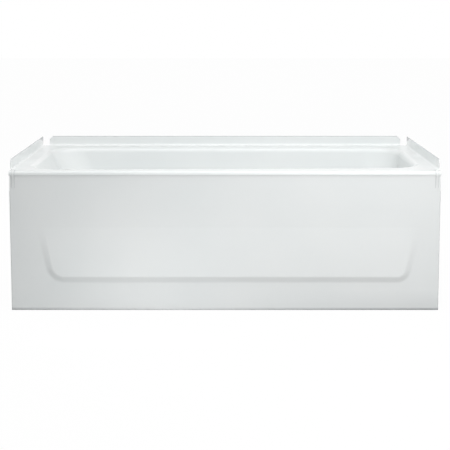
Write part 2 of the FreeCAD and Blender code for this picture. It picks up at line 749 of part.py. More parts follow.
# The tee, with the seat that the plunger drops on to below the branch.
SEAT_TOP = "(branch_height - tube_radius + tube_wall)"
SOCKET = "(tube_radius + slip_gap)"
tee_run = turned("tee_run", [
    ("0", TEE_LOW), ("barrel_radius", TEE_LOW), ("barrel_radius", TEE_LOW + " + socket_depth"),
    ("barrel_radius + 1.5", TEE_LOW + " + socket_depth + 2"),
    ("barrel_radius + 1.5", TEE_TOP + " - socket_depth - 2"),
    ("barrel_radius", TEE_TOP + " - socket_depth"), ("barrel_radius", TEE_TOP), ("0", TEE_TOP)])
place(tee_run, x="stack_x", y="drain_y")
tee_arm = cylinder("tee_arm", "barrel_radius", "tee_branch", x=TEE_SIDE, y="drain_y",
                   z="branch_height", turn="90")
tee_hollow = turned("tee_hollow", [
    ("0", TEE_LOW + " - 5"), (SOCKET, TEE_LOW + " - 5"), (SOCKET, TEE_LOW + " + socket_depth"),
    ("seat_bore", TEE_LOW + " + socket_depth"), ("seat_bore", SEAT_TOP), ("tee_bore", SEAT_TOP),
    ("tee_bore", TEE_TOP + " - socket_depth"), (SOCKET, TEE_TOP + " - socket_depth"),
    (SOCKET, TEE_TOP + " + 5"), ("0", TEE_TOP + " + 5")])
place(tee_hollow, x="stack_x", y="drain_y")
tee_socket = cylinder("tee_socket", SOCKET, "socket_depth + 5", x=TEE_SIDE + " - 5", y="drain_y",
                      z="branch_height", turn="90")
tee_port = cylinder("tee_port", "tee_bore - 1", "tee_branch", x=TEE_SIDE, y="drain_y",
                    z="branch_height", turn="90")
waste_tee = boolean("Cut", "waste_tee", boolean("MultiFuse", "tee_outer", tee_run, [tee_arm]),
                    boolean("MultiFuse", "tee_inner", tee_hollow, [tee_socket, tee_port]))


# The outlet end of the tailpiece is drawn a little under size, for the trap to slide over.
BORE = "(tube_radius - tube_wall)"
OUTLET = "(tube_radius - outlet_draw)"
OUTLET_TOP = "(tail_end + outlet_length)"
TAIL_TOP = TEE_LOW + " + socket_depth - slip_gap"
tailpiece = turned("tailpiece", [
    (BORE, "tail_end"), (OUTLET, "tail_end"), (OUTLET, OUTLET_TOP),
    ("tube_radius", OUTLET_TOP + " + 0.5"), ("tube_radius", TAIL_TOP), (BORE, TAIL_TOP)])
place(tailpiece, x="stack_x", y="drain_y")

TUBE_LOW = TEE_TOP + " - socket_depth + slip_gap"
TUBE_HIGH = HEAD_LOW + " + socket_depth + 8"
overflow_tube = turned("overflow_tube", [
    (BORE, TUBE_LOW), ("tube_radius", TUBE_LOW), ("tube_radius", TUBE_HIGH), (BORE, TUBE_HIGH)])
place(overflow_tube, x="stack_x", y="drain_y")


# ---------------------------------------------------------------- overflow head

# The elbow: a round mouth against the back of the tub wall and a barrel that turns down.
WALL_OUT = "(wall_x + tub_gauge / cos(drain_slope))"
HEAD_DEEP = "(stack_x + head_back - (%s))" % HEAD_FACE
elbow_mouth = turned("elbow_mouth", [
    ("0", "0"), ("head_flange", "0"), ("head_flange", "head_flange_width"),
    ("head_radius", "head_flange_width"), ("head_radius", HEAD_DEEP + " - 14", "14"),
    ("head_radius - 14", HEAD_DEEP), ("0", HEAD_DEEP)])
place(elbow_mouth, x=HEAD_FACE, y="drain_y", z="overflow_z", turn="90")
elbow_barrel = cylinder("elbow_barrel", "barrel_radius", "head_drop", x="stack_x", y="drain_y",
                        z=HEAD_LOW)
elbow_hollow = turned("elbow_hollow", [
    ("0", "-5"), ("head_radius - head_wall", "-5"),
    ("head_radius - head_wall", HEAD_DEEP + " - 14", "14 - head_wall"),
    ("head_radius - 14", HEAD_DEEP + " - head_wall"), ("0", HEAD_DEEP + " - head_wall")])
place(elbow_hollow, x=HEAD_FACE, y="drain_y", z="overflow_z", turn="90")
barrel_hollow = turned("barrel_hollow", [
    ("0", HEAD_LOW + " - 5"), (SOCKET, HEAD_LOW + " - 5"),
    (SOCKET, HEAD_LOW + " + socket_depth + 8 + slip_gap"),
    ("tee_bore", HEAD_LOW + " + socket_depth + 8 + slip_gap"), ("tee_bore", "overflow_z"),
    ("0", "overflow_z")])
place(barrel_hollow, x="stack_x", y="drain_y")
elbow_shell = boolean("Cut", "elbow_shell",
                      boolean("MultiFuse", "elbow_outer", elbow_mouth, [elbow_barrel]),
                      boolean("MultiFuse", "elbow_inner", elbow_hollow, [barrel_hollow]))

# Two ears inside the mouth take the screws of the plate, square to the tub wall.
ALONG_X, ALONG_Z = "sin(drain_slope)", "cos(drain_slope)"
DEEP_X, DEEP_Z = "cos(drain_slope)", "-sin(drain_slope)"


def on_wall(up, deep):
    """A spot by the overflow: so far up the slope of the wall and so far out behind it."""
    return dict(x="wall_x + (%s) * %s + (%s) * %s" % (up, ALONG_X, deep, DEEP_X),
                y="drain_y",
                z="overflow_z + (%s) * %s + (%s) * %s" % (up, ALONG_Z, deep, DEEP_Z))


ears, ear_bores = [], []
for name, sign in (("upper", ""), ("lower", "-")):
    ears.append(cylinder(name + "_ear", "screw_radius + 2.6", "10", turn=OUTWARD,
                         **on_wall(sign + "screw_spread", "17")))
    ear_bores.append(cylinder(name + "_ear_bore", "screw_radius", "60", turn=OUTWARD,
                              **on_wall(sign + "screw_spread", "-20")))
overflow_elbow = boolean("Cut", "overflow_elbow",
                         boolean("MultiFuse", "elbow_eared", elbow_shell, ears),
                         boolean("MultiFuse", "elbow_drilling", ear_bores[0], ear_bores[1:]))

# The bevelled gasket between the sloping tub wall and the upright mouth of the elbow.
overflow_gasket = body("overflow_gasket")
washer = ring(overflow_gasket, "gasket_ring", "YZ_Plane", [("drain_y", "overflow_z")],
              "head_flange", HEAD_FACE)
feature(overflow_gasket, "Pad", "gasket_blank", washer, "20", Reversed=True)
washer = ring(overflow_gasket, "gasket_hole", "YZ_Plane", [("drain_y", "overflow_z")],
              "overflow_hole + 1", HEAD_FACE)
feature(overflow_gasket, "Pocket", "gasket_bored", washer, "50", Midplane=True)
wedge = outline(overflow_gasket, "gasket_wedge", "XZ_Plane",
                [(WALL_OUT + " - 80", "overflow_z - 60"),
                 (WALL_OUT + " - 60 * tan(drain_slope)", "overflow_z - 60"),
                 (WALL_OUT + " + 60 * tan(drain_slope)", "overflow_z + 60"),
                 (WALL_OUT + " - 80", "overflow_z + 60")])
feature(overflow_gasket, "Pocket", "gasket_bevelled", wedge, "200", Midplane=True)

# The face plate: a shallow dome with a slot for the lever and two lugs behind it.
FACING = "drain_slope - 90"
dome_curve = "((plate_radius ^ 2 + (plate_dome - plate_edge) ^ 2) / 2 / (plate_dome - plate_edge))"
overflow_plate = turned("overflow_plate", [
    ("plate_radius - plate_wall", "0"), ("plate_radius", "0"),
    ("plate_radius", "plate_edge", dome_curve), ("0", "plate_dome"),
    ("0", "plate_dome - plate_wall", "-(%s - plate_wall)" % dome_curve),
    ("plate_radius - plate_wall", "plate_edge - plate_wall / 2")])
SEAT = "(plate_dome - 4)"
spots = [("screw_spread", "0"), ("-screw_spread", "0")]
feature(overflow_plate, "Pad", "screw_seats",
        ring(overflow_plate, "seat_rings", "XY_Plane", spots, "screw_radius + 3.2",
             SEAT + " - plate_wall"), "2")
feature(overflow_plate, "Pocket", "screw_dimples",
        ring(overflow_plate, "dimple_rings", "XY_Plane", spots, "screw_radius + 2.1", SEAT),
        "10", Reversed=True)
feature(overflow_plate, "Pocket", "screw_holes",
        ring(overflow_plate, "hole_rings", "XY_Plane", spots, "screw_radius + 0.3"),
        "20", Reversed=True)
lugs = sketch(overflow_plate, "lug_outlines", "XY_Plane", "-2")
for sign in ("-", ""):
    loop(lugs, rectangle("-4", sign + "(lever_width / 2 + lug_gap)", "4",
                         sign + "(lever_width / 2 + lug_gap + lug_width)"))
feature(overflow_plate, "Pad", "lugs", lugs, "plate_dome + 1")
pivot_hole = ring(overflow_plate, "pivot_hole", "XZ_Plane", [("0", "pivot_rise")], "pivot_pin")
feature(overflow_plate, "Pocket", "pivot_bore", pivot_hole, "4 * lever_width", Midplane=True)
window = outline(overflow_plate, "lever_window", "XY_Plane",
                 rectangle("-plate_dome / 2 - 1", "-lever_width / 2 - 0.6", "plate_dome / 2 + 1",
                           "lever_width / 2 + 0.6"), "plate_dome - 4")
feature(overflow_plate, "Pocket", "lever_slot", window, "10", Reversed=True)
place(overflow_plate, turn=FACING, **on_wall("0", "0"))
plate_screws = [
    screw(name + "_plate_screw", "plate_dome + 20", turn=FACING,
          **on_wall(sign + "screw_spread", "-%s" % SEAT))
    for name, sign in (("upper", ""), ("lower", "-"))]


# ---------------------------------------------------------------- trip lever

PIVOT = on_wall("0", "-pivot_rise")
PIN_Y = V(1, 0, 0)
PIN_REACH = "(lever_width / 2 + lug_gap + lug_width)"


def headed_pin(name, radius, reach, **position):
    """A pin across the mechanism with a small head at each end."""
    made = turned(name, [
        ("0", "-%s - 1" % reach), (radius + " + 0.8", "-%s - 1" % reach),
        (radius + " + 0.8", "-" + reach), (radius, "-" + reach), (radius, reach),
        (radius + " + 0.8", reach), (radius + " + 0.8", reach + " + 1"), ("0", reach + " + 1")])
    return place(made, axis=PIN_Y, turn="90", **position)


pivot_pin = headed_pin("pivot_pin", "pivot_pin", PIN_REACH, **PIVOT)

# Drawn with its arm level; at rest the arm hangs by half the swing and the drain is shut.
trip_lever = body("trip_lever")
hub = ring(trip_lever, "hub_outline", "XZ_Plane", [("0", "0")], "hub_radius")
feature(trip_lever, "Pad", "hub", hub, "lever_width", Midplane=True)
arm = outline(trip_lever, "arm_outline", "XZ_Plane",
              [("0", "-arm_height / 2"), ("lever_arm", "-arm_height / 2", "arm_height / 2 + 0.01"),
               ("lever_arm", "arm_height / 2"), ("0", "arm_height / 2")])
feature(trip_lever, "Pad", "arm", arm, "arm_width", Midplane=True)


def on_handle(out, up):
    """A spot on the handle, which leaves the hub square to the plate."""
    return ("-(%s) * cos(drain_slope) + (%s) * sin(drain_slope)" % (out, up),
            "(%s) * sin(drain_slope) + (%s) * cos(drain_slope)" % (out, up))


grip = outline(trip_lever, "handle_outline", "XZ_Plane",
               [on_handle("0", "1.6"), on_handle("0", "-1.6"),
                on_handle("plate_dome + 3", "-1.6"), on_handle("lever_reach - 2", "-2.2"),
                on_handle("lever_reach", "-1.2"), on_handle("lever_reach", "2.2"),
                on_handle("lever_reach - 2", "3"), on_handle("plate_dome + 3", "1.6")])
feature(trip_lever, "Pad", "handle", grip, "lever_width", Midplane=True)
feature(trip_lever, "Pocket", "pivot_eye",
        ring(trip_lever, "eye_outline", "XZ_Plane", [("0", "0")], "pivot_pin + pivot_gap"),
        "2 * lever_width", Midplane=True)
EYE = "(link_pin + link_play)"
slot = outline(trip_lever, "slot_outline", "XZ_Plane",
               [("lever_arm - link_slot", "-" + EYE), ("lever_arm + link_slot", "-" + EYE,
                                                        EYE + " + 0.001"),
                ("lever_arm + link_slot", EYE), ("lever_arm - link_slot", EYE, EYE + " + 0.001")])
feature(trip_lever, "Pocket", "arm_slot", slot, "2 * lever_width", Midplane=True)
place(trip_lever, turn="lever_swing", **PIVOT)


# ---------------------------------------------------------------- linkage and plunger

PIN_Z = "(%s - lever_arm * sin(lever_swing))" % PIVOT["z"]
CHEEK = "(arm_width / 2 + link_play)"
cotter_pin = headed_pin("cotter_pin", "link_pin", "(%s + 1.6)" % CHEEK, x="stack_x",
                        y="drain_y", z=PIN_Z)

# The yoke straddles the arm; its foot is bored for the rod.
yoke = body("yoke")
block = outline(yoke, "yoke_outline", "XZ_Plane",
                [("-4", "-arm_height - 3"), ("4", "-arm_height - 3"), ("4", "1", "4.2"),
                 ("-4", "1")])
feature(yoke, "Pad", "yoke_block", block, "2 * %s + 3.2" % CHEEK, Midplane=True)
gap = outline(yoke, "yoke_gap", "YZ_Plane",
              rectangle("-" + CHEEK, "-arm_height", CHEEK, "10"))
feature(yoke, "Pocket", "yoke_slot", gap, "20", Midplane=True)
feature(yoke, "Pocket", "yoke_eye",
        ring(yoke, "yoke_eye_outline", "XZ_Plane", [("0", "0")], "link_pin"), "20", Midplane=True)
feature(yoke, "Pad", "yoke_foot",
        ring(yoke, "foot_outline", "XY_Plane", [("0", "0")], "rod_radius + 1.4",
             "-arm_height - 9"), "7")
feature(yoke, "Pocket", "yoke_thread",
        ring(yoke, "thread_ring", "XY_Plane", [("0", "0")], "rod_radius", "-arm_height - 10"),
        "8", Reversed=True)
place(yoke, x="stack_x", y="drain_y", z=PIN_Z)


def rod(name, low, high):
    return place(turned(name, [("0", low), ("rod_radius", low), ("rod_radius", high),
                               ("0", high)]), x="stack_x", y="drain_y")


PLUNGER_LOW = "(%s + 0.3)" % SEAT_TOP
PLUNGER_TOP = "(%s + plunger_length)" % PLUNGER_LOW
upper_rod = rod("upper_rod", "rod_joint", PIN_Z + " - arm_height - 2")
lower_rod = rod("lower_rod", PLUNGER_TOP + " - 5", "rod_joint")
adjusting_nut = turned("adjusting_nut", [
    ("rod_radius", "-11"), ("3.2", "-11"), ("4.2", "-10"), ("4.2", "10"), ("3.2", "11"),
    ("rod_radius", "11")])
place(adjusting_nut, x="stack_x", y="drain_y", z="rod_joint")

# The plunger: an open sleeve hung from a crossbar, so the overflow still drains through it.
plunger = turned("plunger", [
    ("plunger_radius - plunger_wall", "1.5"), ("plunger_radius - plunger_wall", "plunger_length"),
    ("plunger_radius", "plunger_length"), ("plunger_radius", "1.5"),
    ("plunger_radius - 1.5", "0"), ("plunger_radius - plunger_wall", "0")])
bar_outline = outline(plunger, "plunger_bars", "XY_Plane",
                      rectangle("-plunger_radius + 0.8", "-2", "plunger_radius - 0.8", "2"),
                      "plunger_length - 5")
feature(plunger, "Pad", "plunger_bar", bar_outline, "5")
feature(plunger, "Pad", "plunger_boss",
        ring(plunger, "boss_ring", "XY_Plane", [("0", "0")], "rod_radius + 2.4",
             "plunger_length - 5"), "5")
feature(plunger, "Pocket", "plunger_thread",
        ring(plunger, "plunger_thread_ring", "XY_Plane", [("0", "0")], "rod_radius",
             "plunger_length - 6"), "10", Reversed=True)
place(plunger, x="stack_x", y="drain_y", z=PLUNGER_LOW)


# ---------------------------------------------------------------- check and write

doc.recompute()
for item in doc.Objects:
    if "Invalid" in item.State or "Error" in item.State:
        raise RuntimeError("%s did not build" % item.Name)

pieces = [basin_shell, apron_panel, foam_pad, drain_flange, strainer_grid, strainer_screw,
          drain_gasket, drain_shoe, *slip_parts, waste_tee, tailpiece, overflow_tube,
          overflow_elbow, overflow_gasket, overflow_plate, *plate_screws, pivot_pin, trip_lever,
          cotter_pin, yoke, upper_rod, adjusting_nut, lower_rod, plunger]
for piece in pieces:
    if piece.Shape.isNull() or not piece.Shape.isValid() or len(piece.Shape.Solids) != 1:
        raise RuntimeError("%s is not one sound solid" % piece.Label)

os.makedirs("parts", exist_ok=True)
for piece in pieces:
    piece.Shape.exportStep("parts/%s.step" % piece.Label)
    print("%-22s %10.2f cm3" % (piece.Label, piece.Shape.Volume / 1000))
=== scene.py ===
# %% [markdown]
# # An alcove bathtub in white enamel
# The tub is built into three walls of a bathroom, so once it is fitted only its apron, its
# rim and the inside of the basin are seen. On its own it also shows the dark ground coat
# underneath, the foam pad that it stands on and the brass waste at the drain end.
# This lesson loads the measured model, gives every piece its finish, models the pieces that
# need finer shapes, and lights the tub like a catalogue picture.

# %% Load the measured model
import math

import bpy
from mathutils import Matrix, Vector


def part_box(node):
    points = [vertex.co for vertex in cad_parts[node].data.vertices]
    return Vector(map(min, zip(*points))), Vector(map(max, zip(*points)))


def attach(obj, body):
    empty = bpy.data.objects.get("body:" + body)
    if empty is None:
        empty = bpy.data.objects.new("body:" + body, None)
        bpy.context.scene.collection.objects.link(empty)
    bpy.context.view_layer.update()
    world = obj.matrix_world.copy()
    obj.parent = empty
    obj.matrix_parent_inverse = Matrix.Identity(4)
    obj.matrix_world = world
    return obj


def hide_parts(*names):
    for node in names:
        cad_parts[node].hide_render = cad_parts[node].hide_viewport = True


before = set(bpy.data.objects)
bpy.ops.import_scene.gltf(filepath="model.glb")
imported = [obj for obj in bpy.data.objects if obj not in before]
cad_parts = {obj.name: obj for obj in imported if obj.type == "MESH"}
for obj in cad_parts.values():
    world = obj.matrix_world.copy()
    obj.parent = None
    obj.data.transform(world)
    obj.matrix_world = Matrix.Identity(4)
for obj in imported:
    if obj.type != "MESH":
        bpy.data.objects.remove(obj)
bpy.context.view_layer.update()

print("measured pieces", len(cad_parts))

# %% [markdown]
# ## The edges that the finishes need
# The finish changes at real edges of the tub: the rim, the nose in front and the cut top of
# the upstands. Their places could be typed in one by one. They are worked out here from the
# boxes round the measured pieces and three sizes of the pressed steel, all in metres, so
# each place is written once.

# %% Find the rim, the nose and the face of the apron
upstand_rise = 0.038
basin_gauge = 0.0024
panel_raise = 0.010
basin_low, basin_high = (Vector(corner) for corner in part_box("basin_shell"))
apron_low = Vector(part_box("apron_panel")[0])
rim_z = basin_high.z - upstand_rise
nose_y = basin_low.y
apron_y = apron_low.y + panel_raise
print("rim", round(rim_z, 4), "nose", round(nose_y, 4), "apron face", round(apron_y, 4))

# %% [markdown]
# ## The camera
# The photograph was taken from in front and a little above, with the sides of the apron
# upright in the picture. A camera that looks down makes upright lines lean together. A
# camera that stays level and shifts its lens down keeps them straight, but a large shift
# spoils other views, so this camera tilts a little and shifts a little.

# %% Set up the camera
looks_down = 6.54
camera_data = bpy.data.cameras.new("front_view")
camera = bpy.data.objects.new("front_view", camera_data)
bpy.context.scene.collection.objects.link(camera)
camera.location = (0.0, -4.189, 1.068)
camera.rotation_euler = (math.radians(90 - looks_down), 0, 0)
camera_data.lens = 87.67
camera_data.shift_y = -0.2
bpy.context.scene.camera = camera
print("camera", tuple(round(value, 3) for value in camera.location))

# %% [markdown]
# ## The floor
# The picture has nothing but white round the tub. Lighting a floor until it looks white would
# burn out the tub as well. So the floor is white paper that mostly glows where the camera, a
# mirror or a glass sees it, and takes a trace of shadow there. All other rays meet a grey
# floor, which throws only a modest light up at the tub.

# %% Lay the floor
floor_size, floor_drop = 40, 0.0005
bpy.ops.object.select_all(action="DESELECT")
bpy.ops.mesh.primitive_plane_add(size=floor_size, location=(0, 0, -floor_drop))
floor = bpy.context.object
floor.name = "studio_floor"
print("floor at", round(floor.location.z, 4))


# %% Start a material and tell its rays apart
def new_material(name):
    """A node material, with its nodes, its links and its shader."""
    material = bpy.data.materials.new(name)
    material.use_nodes = True
    nodes, links = material.node_tree.nodes, material.node_tree.links
    return material, nodes, links, nodes["Principled BSDF"]


def seen_directly(nodes, links):
    """One for the rays of the camera, a mirror and a glass, and nought for all others."""
    rays = nodes.new("ShaderNodeLightPath")
    total = rays.outputs["Is Camera Ray"]
    for kind in ("Is Glossy Ray", "Is Transmission Ray"):
        join = nodes.new("ShaderNodeMath")
        join.operation = "MAXIMUM"
        links.new(total, join.inputs[0])
        links.new(rays.outputs[kind], join.inputs[1])
        total = join.outputs[0]
    return total


def choose(nodes, links, share, first, second):
    """The first shader where the share is nought, and the second where it is one."""
    mix = nodes.new("ShaderNodeMixShader")
    if isinstance(share, float):
        mix.inputs[0].default_value = share
    else:
        links.new(share, mix.inputs[0])
    links.new(first.outputs[0], mix.inputs[1])
    links.new(second.outputs[0], mix.inputs[2])
    return mix


# %% White paper on the floor
paper_glow = 0.98
paper_white = (0.93, 0.93, 0.93, 1)
bounce_grey = (0.42, 0.42, 0.42, 1)
full_white = (1, 1, 1, 1)

floor_finish, nodes, links, paper = new_material("studio_paper")
paper.inputs["Base Color"].default_value = paper_white
paper.inputs["Roughness"].default_value = 0.9
glow = nodes.new("ShaderNodeEmission")
glow.inputs["Color"].default_value = full_white
bounce = nodes.new("ShaderNodeBsdfDiffuse")
bounce.inputs["Color"].default_value = bounce_grey
bright = choose(nodes, links, paper_glow, paper, glow)
whole = choose(nodes, links, seen_directly(nodes, links), bounce, bright)
links.new(whole.outputs[0], nodes["Material Output"].inputs["Surface"])
floor.data.materials.append(floor_finish)
print("paper glows at", paper_glow)

# %% [markdown]
# ## The air of the studio
# Light comes from all round as well, off the walls of a white room. A picture wrapped round
# the scene could give it, but plain white is nearer to what the photograph shows. As on the
# floor, it is full white to look at and gives the tub much less light than that.

# %% Light from all round
room_strength = 0.29
room_white = (0.96, 0.99, 0.99, 1)


def air(nodes, colour, strength):
    """Light of one colour from every side."""
    background = nodes.new("ShaderNodeBackground")
    background.inputs["Color"].default_value = colour
    background.inputs["Strength"].default_value = strength
    return background


world = bpy.data.worlds.new("studio_air")
bpy.context.scene.world = world
world.use_nodes = True
nodes, links = world.node_tree.nodes, world.node_tree.links
nodes.clear()
soft = air(nodes, room_white, room_strength)
white = air(nodes, full_white, 1.0)
whole = choose(nodes, links, seen_directly(nodes, links), soft, white)
result = nodes.new("ShaderNodeOutputWorld")
links.new(whole.outputs[0], result.inputs["Surface"])
bpy.context.scene.view_settings.view_transform = "Standard"
print("world strength", room_strength)

# %% [markdown]
# ## The lamps
# A tub is photographed under large soft boxes, because small lamps would draw hard shadows
# and bright dots on the enamel. The box overhead gives most of the light and the broad sheen
# on the rim. The far box lights the apron from the front, and three small ones even it out
# towards the right and along its foot. The last three reach the back and the two ends. All
# but the one overhead are kept out of the reflections, where they would show as patches.


# %% Hang the lamps
def soft_box(name, place, faces, size, power, mirrored=False):
    """A wide area lamp, its power in watts, that faces a spot. Glossy pieces may mirror it."""
    lamp = bpy.data.lights.new(name, "AREA")
    lamp.shape = "RECTANGLE"
    lamp.size, lamp.size_y = size
    lamp.energy = power
    holder = bpy.data.objects.new(name, lamp)
    holder.location = place
    holder.rotation_euler = (Vector(faces) - Vector(place)).to_track_quat("-Z", "Y").to_euler()
    holder.visible_camera = False
    holder.visible_glossy = mirrored
    bpy.context.scene.collection.objects.link(holder)


soft_box("overhead_box", place=(0, -0.3, 2.6), faces=(0, 0, 0.4), size=(3.0, 2.0), power=32,
         mirrored=True)
soft_box("far_box", place=(0.1, -3.7, 1.7), faces=(0, -0.38, 0.25), size=(1.8, 1.0), power=22)
soft_box("right_box", place=(0.7, -1.6, 1.2), faces=(0.5, -0.38, 0.3), size=(0.8, 0.7),
         power=10.5)
soft_box("low_box", place=(-0.25, -1.2, 0.4), faces=(-0.2, -0.38, 0.05), size=(0.5, 0.25),
         power=0.3)
soft_box("foot_box", place=(-0.32, -0.8, 0.06), faces=(-0.32, -0.37, 0.03), size=(0.5, 0.06),
         power=0.3)
soft_box("back_box", place=(0.2, 2.3, 0.5), faces=(0, 0.3, 0.1), size=(1.6, 0.6), power=18)
for name, side in (("head_box", -1), ("drain_box", 1)):
    soft_box(name, place=(2.3 * side, 0.7, 0.45), faces=(0.6 * side, 0.1, 0.2),
             size=(0.8, 0.5), power=8)

# %% [markdown]
# ## Tools for the finishes
# Every finish is worked out from nodes on the piece's own coordinates, so it stays put when
# the piece moves, and no pictures are needed. A few helpers keep each finish short: noise for
# unevenness, a ramp that turns it into colour, a range that turns it into roughness, and a
# bump for the surface.


# %% Noise on a piece
def on_piece(nodes, kind="Object"):
    """The place on the piece, in metres, or with the kind Normal the way that it faces."""
    return nodes.new("ShaderNodeTexCoord").outputs[kind]


def noise(nodes, links, scale, detail=3.0, stretch=(1, 1, 1)):
    """Soft noise. Its scale is in waves per metre, longer along an axis stretched below 1."""
    shape = nodes.new("ShaderNodeMapping")
    shape.inputs["Scale"].default_value = stretch
    grain = nodes.new("ShaderNodeTexNoise")
    grain.inputs["Scale"].default_value = scale
    grain.inputs["Detail"].default_value = detail
    links.new(on_piece(nodes), shape.inputs["Vector"])
    links.new(shape.outputs[0], grain.inputs["Vector"])
    return grain.outputs[0]


# %% Colour, roughness and bump from numbers
def colours(nodes, links, amount, *stops):
    """Turn a number into a colour. A stop is (position, colour)."""
    ramp = nodes.new("ShaderNodeValToRGB")
    while len(ramp.color_ramp.elements) < len(stops):
        ramp.color_ramp.elements.new(0.5)
    for element, (position, colour) in zip(ramp.color_ramp.elements, stops):
        element.position, element.color = position, (*colour, 1)
    links.new(amount, ramp.inputs[0])
    return ramp.outputs[0]


def spread(nodes, links, amount, low, high, start=0.3, end=0.7):
    """A number that goes from low to high as the amount goes from start to end."""
    scale = nodes.new("ShaderNodeMapRange")
    for socket, number in zip(("From Min", "From Max", "To Min", "To Max"),
                              (start, end, low, high)):
        scale.inputs[socket].default_value = number
    links.new(amount, scale.inputs["Value"])
    return scale.outputs[0]


def raise_by(nodes, links, height, distance, under=None):
    """A bump as high as the distance in metres, on top of another bump if one is given."""
    bump = nodes.new("ShaderNodeBump")
    bump.inputs["Strength"].default_value = 1.0
    bump.inputs["Distance"].default_value = distance
    links.new(height, bump.inputs["Height"])
    if under is not None:
        links.new(under, bump.inputs["Normal"])
    return bump.outputs[0]


# %% Put a finish together and give it to pieces
def sums(nodes, links, kind, first, second):
    """Arithmetic on two numbers; the second may be a plain one."""
    work = nodes.new("ShaderNodeMath")
    work.operation = kind
    links.new(first, work.inputs[0])
    if isinstance(second, (int, float)):
        work.inputs[1].default_value = second
    else:
        links.new(second, work.inputs[1])
    return work.outputs[0]


def dress(links, shader, colour, roughness, bump):
    """Join a colour, a roughness and a bump to the shader."""
    links.new(colour, shader.inputs["Base Color"])
    links.new(roughness, shader.inputs["Roughness"])
    links.new(bump, shader.inputs["Normal"])


def finish(material, *names):
    """Give measured pieces one finish."""
    for name in names:
        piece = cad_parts[name]
        piece.data.materials.clear()
        piece.data.materials.append(material)
    print(material.name, "on", len(names), "pieces")


# %% [markdown]
# ## White enamel
# The steel is dipped in a dark ground coat and fired, then sprayed with white cover coats on
# the faces that show and fired again. The white is glassy, a little uneven where it pooled,
# and never quite flat. The underside keeps the ground coat, with a mist of white specks that
# drifted over it. Two materials on hand-picked faces could do this. One material that looks
# at the way a spot faces needs no picking: on the basin, what faces away from a point above
# it is dark, and on the apron, what faces a point in the hollow behind it.

# %% Which way a spot faces
above_basin = (0, 0, 0.6)
apron_hollow = (0, -0.3, 0.25)
just_above_underside = 0.0003
behind_nose = 0.0011
nearly_upright = 0.02


def parts_of(nodes, links, vector):
    """The X, Y and Z of a vector, by name."""
    split = nodes.new("ShaderNodeSeparateXYZ")
    links.new(vector, split.inputs[0])
    return split.outputs


def looks_away(nodes, links, point):
    """Above nought where the surface faces away from a point, below where it faces it."""
    offset = nodes.new("ShaderNodeVectorMath")
    offset.operation = "SUBTRACT"
    offset.inputs[1].default_value = point
    facing = nodes.new("ShaderNodeVectorMath")
    facing.operation = "DOT_PRODUCT"
    links.new(on_piece(nodes), offset.inputs[0])
    links.new(offset.outputs[0], facing.inputs[0])
    links.new(on_piece(nodes, "Normal"), facing.inputs[1])
    return facing.outputs["Value"]


# %% Where the ground coat shows
def dark_under_basin(nodes, links):
    """One on the outside of the basin, up to the underside of the rim and behind the nose."""
    dark = sums(nodes, links, "GREATER_THAN", looks_away(nodes, links, above_basin), 0.0)
    spot = parts_of(nodes, links, on_piece(nodes))
    slant = parts_of(nodes, links, on_piece(nodes, "Normal"))
    underside_z = rim_z - basin_gauge + just_above_underside
    below = sums(nodes, links, "LESS_THAN", spot["Z"], underside_z)
    downward = sums(nodes, links, "LESS_THAN", slant["Z"], nearly_upright)
    behind = sums(nodes, links, "GREATER_THAN", spot["Y"], nose_y + behind_nose)
    for limit in (below, downward, behind):
        dark = sums(nodes, links, "MULTIPLY", dark, limit)
    return dark


def dark_inside_apron(nodes, links):
    """One on the back of the apron, which faces the hollow."""
    return sums(nodes, links, "LESS_THAN", looks_away(nodes, links, apron_hollow), 0.0)


# %% [markdown]
# ## Where the white runs thin, and painted shade
# Glass draws back from a sharp edge as it is fired, so the dark coat shows through as grey
# along the cut top of the upstands. The same grey is painted shade on the sharp tips at their
# back corners, on the turned hem at the foot of the apron and on the apron just above it at
# the right. The grey could be painted on by hand. Instead a few sums on the height and the
# place along the tub say how grey each spot is. Each gives nought where the white is full and
# one where the spot is wholly grey.

# %% Thin on the upstands, with painted shade on their tips
edge_starts, edge_full, edge_share = 0.0025, 0.0004, 0.5
end_reach = 0.005
# A tip of painted shade is found by its height plus a part of its depth, so that its lower edge
# slopes.
tip_slope = 0.225
tip_starts, tip_full, tip_share = 0.597, 0.607, 0.9


def thin_edge_and_shaded_tips(nodes, links):
    """Thin white on the upstand's cut top edge, and painted shade on the sharp tips at its back
    corners.
    """
    spot = parts_of(nodes, links, on_piece(nodes))
    edge = spread(nodes, links, spot["Z"], low=0.0, high=edge_share,
                  start=basin_high.z - edge_starts, end=basin_high.z - edge_full)
    out = sums(nodes, links, "ABSOLUTE", spot["X"], 0.0)
    at_end = sums(nodes, links, "GREATER_THAN", out, basin_high.x - end_reach)
    back = sums(nodes, links, "MULTIPLY", spot["Y"], tip_slope)
    rise = sums(nodes, links, "ADD", back, spot["Z"])
    tip = spread(nodes, links, rise, low=0.0, high=tip_share, start=tip_starts, end=tip_full)
    return sums(nodes, links, "MAXIMUM", edge, sums(nodes, links, "MULTIPLY", at_end, tip))


# %% Painted shade on the foot of the apron
# Painted shade along the hem is lightest at one place across the tub and deepens towards the
# ends. A little more is painted on the apron above the hem at the right.
hem_top, hem_full = 0.0125, 0.004
least_shaded_x, deepest_shade_away = -0.2, 0.9
least_share, most_share = 0.12, 0.72
above_top, above_share = 0.075, 0.15
right_starts, right_full = 0.05, 0.7


